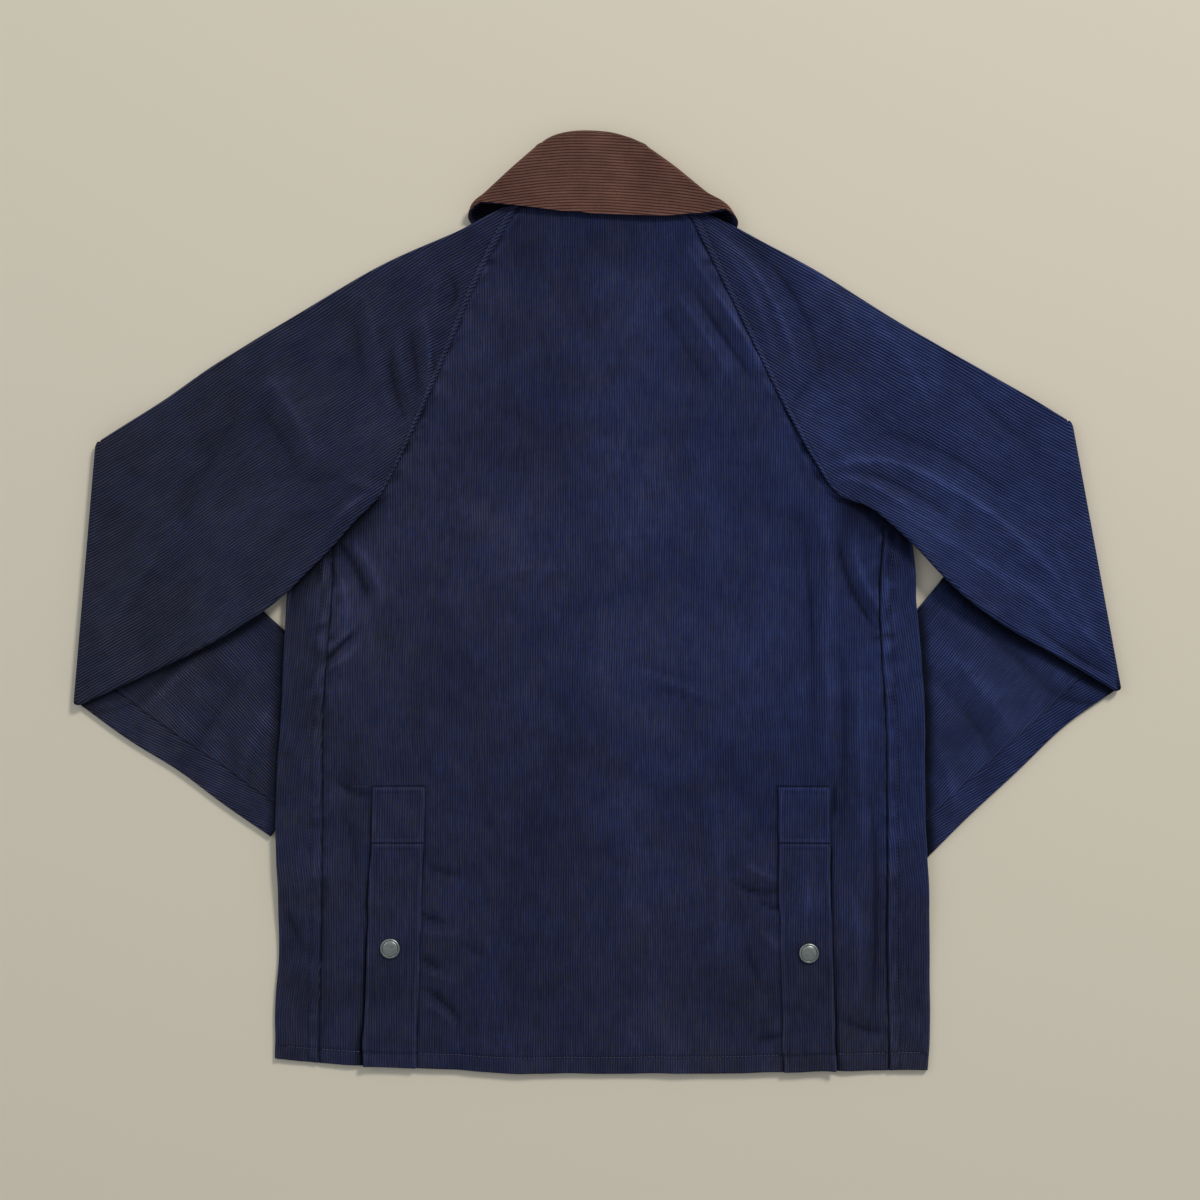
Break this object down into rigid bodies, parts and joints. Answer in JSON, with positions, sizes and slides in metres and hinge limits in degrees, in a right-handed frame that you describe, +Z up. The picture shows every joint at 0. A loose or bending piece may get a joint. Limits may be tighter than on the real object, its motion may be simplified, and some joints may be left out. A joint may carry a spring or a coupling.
{
  "type": "hunting jacket",
  "caption": "Corduroy hunting jacket laid face down, zipped, with raglan sleeves folded under at the elbow, a turned down collar and studded vents at the back hem.",
  "frame": {"origin": "on the surface the jacket lies on, under the middle of its outline", "axes": "+X to the wearer's right, across the back; +Y from the hem to the collar; +Z up, out of the back panel"},
  "size_m": [0.8925, 0.8027, 0.0185],
  "materials": {
    "navy_corduroy": "matte",
    "brown_corduroy": "matte",
    "zip_tape": "matte",
    "stud_steel": "satin"
  },
  "bodies": {
    "root": {"back_panel": "navy_corduroy", "front_left": "navy_corduroy", "front_right": "navy_corduroy", "sleeve_left": "navy_corduroy", "sleeve_right": "navy_corduroy", "vent_strip_left": "navy_corduroy", "vent_strip_right": "navy_corduroy", "vent_tab_left": "navy_corduroy", "vent_tab_right": "navy_corduroy", "stud_left": "stud_steel", "stud_right": "stud_steel", "collar_top": "brown_corduroy", "collar_under": "navy_corduroy", "front_zip": "zip_tape"}
  },
  "joints": []
}
